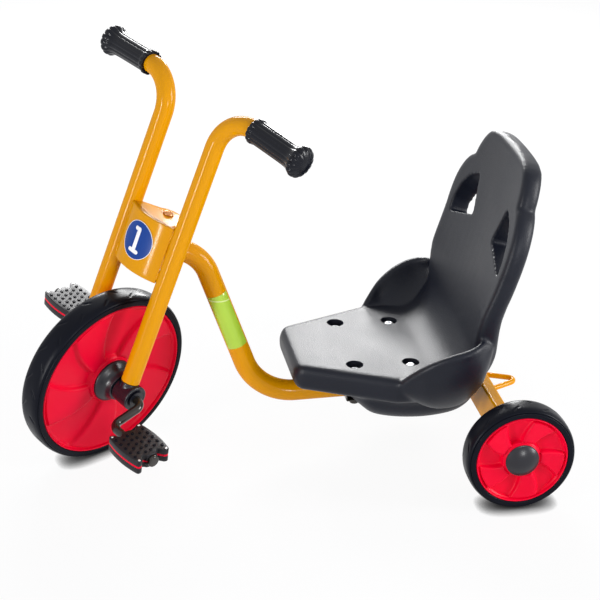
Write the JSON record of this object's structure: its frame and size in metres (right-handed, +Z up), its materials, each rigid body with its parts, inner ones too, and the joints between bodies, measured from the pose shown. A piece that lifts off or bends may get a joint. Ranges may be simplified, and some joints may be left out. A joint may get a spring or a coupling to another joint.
{
  "type": "tricycle",
  "caption": "Child's pedal tricycle with orange tube frame, black bucket seat, red wheels, solid black tyres and direct front pedals",
  "frame": {"origin": "on the floor, under the middle of the tricycle's length and width, between the floor contacts of the wheels", "axes": "+Z up, +Y towards the rear wheels along the tricycle's length, +X to the rider's left"},
  "size_m": [0.614, 0.8404, 0.6709],
  "materials": {
    "orange_powder_coat": "glossy powder coat on steel tube",
    "red_plastic": "moulded, semi gloss",
    "black_tyre": "solid rubber, glossy",
    "black_grip": "soft moulded, fluted, glossy",
    "black_seat": "fine grained moulding",
    "black_plastic": "moulded, satin",
    "black_steel": "black coated steel",
    "zinc_steel": "zinc plated",
    "copper_steel": "yellow passivated plating",
    "white_nylon": "turned nylon",
    "blue_vinyl": "printed vinyl",
    "white_vinyl": "printed vinyl",
    "green_vinyl": "printed vinyl"
  },
  "bodies": {
    "frame": {"main_tube": "orange_powder_coat", "head_tube": "orange_powder_coat", "steering_bush_top": "white_nylon", "steering_bush_bottom": "white_nylon", "rear_beam": "orange_powder_coat", "beam_plug_left": "black_plastic", "beam_plug_right": "black_plastic", "hitch_loop": "orange_powder_coat", "rear_axle": "zinc_steel", "axle_washer_left": "zinc_steel", "axle_washer_right": "zinc_steel", "axle_nut_left": "zinc_steel", "axle_nut_right": "zinc_steel", "seat_rail_front": "orange_powder_coat", "seat_rail_rear": "orange_powder_coat", "seat": "black_seat", "seat_bolt_front_left": "zinc_steel", "seat_bolt_front_right": "zinc_steel", "seat_bolt_rear_left": "zinc_steel", "seat_bolt_rear_right": "zinc_steel", "tube_label": "green_vinyl"},
    "fork": {"fork_tube_left": "orange_powder_coat", "fork_tube_right": "orange_powder_coat", "grip_left": "black_grip", "grip_right": "black_grip", "head_front_plate": "orange_powder_coat", "head_top_plate": "orange_powder_coat", "head_bottom_plate": "orange_powder_coat", "number_disc": "blue_vinyl", "number_one": "white_vinyl", "pivot_bolt": "copper_steel", "pivot_nut": "zinc_steel", "hub_bearing_left": "black_plastic", "hub_bearing_right": "black_plastic", "crank_bush_left": "black_plastic", "crank_bush_right": "black_plastic"},
    "front_wheel": {"front_tyre": "black_tyre", "front_rim": "red_plastic", "crank": "black_steel", "hub_flange_left": "black_plastic", "hub_flange_right": "black_plastic", "drive_pin": "zinc_steel", "pedal_retainer_left": "black_steel", "pedal_retainer_right": "black_steel"},
    "pedal_left": {"pedal_upper_left": "black_plastic", "pedal_lower_left": "black_plastic", "pedal_core_left": "red_plastic"},
    "pedal_right": {"pedal_upper_right": "black_plastic", "pedal_lower_right": "black_plastic", "pedal_core_right": "red_plastic"},
    "rear_wheel_left": {"rear_tyre_left": "black_tyre", "rear_rim_left": "red_plastic", "rear_bush_left": "white_nylon", "hub_cap_left": "black_plastic"},
    "rear_wheel_right": {"rear_tyre_right": "black_tyre", "rear_rim_right": "red_plastic", "rear_bush_right": "white_nylon", "hub_cap_right": "black_plastic"}
  },
  "joints": [
    {"name": "steering", "type": "hinge", "parent": "frame", "child": "fork", "pos_m": [0, -0.18821, 0.36896], "axis": [0, 0.342, 0.9397], "range_deg": [-94.2, 25.8]},
    {"name": "front_wheel_spin", "type": "hinge", "parent": "fork", "child": "front_wheel", "pos_m": [0.01001, -0.28413, 0.14847], "axis": [0.8271, 0.5282, -0.1922], "continuous": true},
    {"name": "pedal_left_spin", "type": "hinge", "parent": "front_wheel", "child": "pedal_left", "pos_m": [0.17818, -0.24696, 0.09919], "axis": [0.8271, 0.5282, -0.1922], "continuous": true},
    {"name": "pedal_right_spin", "type": "hinge", "parent": "front_wheel", "child": "pedal_right", "pos_m": [-0.15817, -0.32129, 0.19776], "axis": [0.8271, 0.5282, -0.1922], "continuous": true},
    {"name": "rear_wheel_left_spin", "type": "hinge", "parent": "frame", "child": "rear_wheel_left", "pos_m": [0.2757, 0.3345, 0.0877], "axis": [1, 0, 0], "continuous": true},
    {"name": "rear_wheel_right_spin", "type": "hinge", "parent": "frame", "child": "rear_wheel_right", "pos_m": [-0.2757, 0.3345, 0.0877], "axis": [1, 0, 0], "continuous": true}
  ]
}
